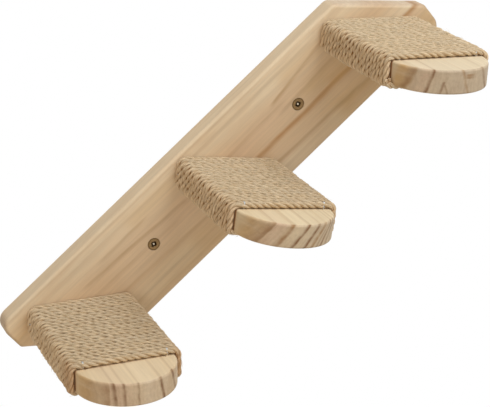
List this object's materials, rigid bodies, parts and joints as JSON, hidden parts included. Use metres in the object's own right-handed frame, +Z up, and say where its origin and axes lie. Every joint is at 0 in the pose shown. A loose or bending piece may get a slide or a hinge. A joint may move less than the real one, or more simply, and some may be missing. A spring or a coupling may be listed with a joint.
{
  "type": "wall-mounted cat ladder",
  "caption": "Wall-mounted cat ladder: a slanted pine backboard with round-nosed plank steps wound with sisal rope.",
  "frame": {"origin": "centre of the backboard's back face, which lies on the wall", "axes": "+X right as seen from the room, +Y into the wall, +Z up"},
  "size_m": [0.3846, 0.215, 0.304],
  "materials": {
    "pine": "matte",
    "sisal_rope": "rough",
    "bronzed_steel": "satin",
    "zinc_steel": "satin"
  },
  "bodies": {
    "root": {"backboard": "pine", "bottom_step": "pine", "middle_step": "pine", "top_step": "pine", "bottom_rope": "sisal_rope", "middle_rope": "sisal_rope", "top_rope": "sisal_rope", "bottom_step_left_screw": "zinc_steel", "bottom_step_right_screw": "zinc_steel", "middle_step_left_screw": "zinc_steel", "middle_step_right_screw": "zinc_steel", "top_step_left_screw": "zinc_steel", "top_step_right_screw": "zinc_steel", "lower_wall_screw": "bronzed_steel", "upper_wall_screw": "bronzed_steel", "bottom_front_staples": "zinc_steel", "middle_front_staples": "zinc_steel", "top_front_staples": "zinc_steel", "bottom_end_staples": "zinc_steel", "middle_end_staples": "zinc_steel", "top_end_staples": "zinc_steel"}
  },
  "joints": []
}
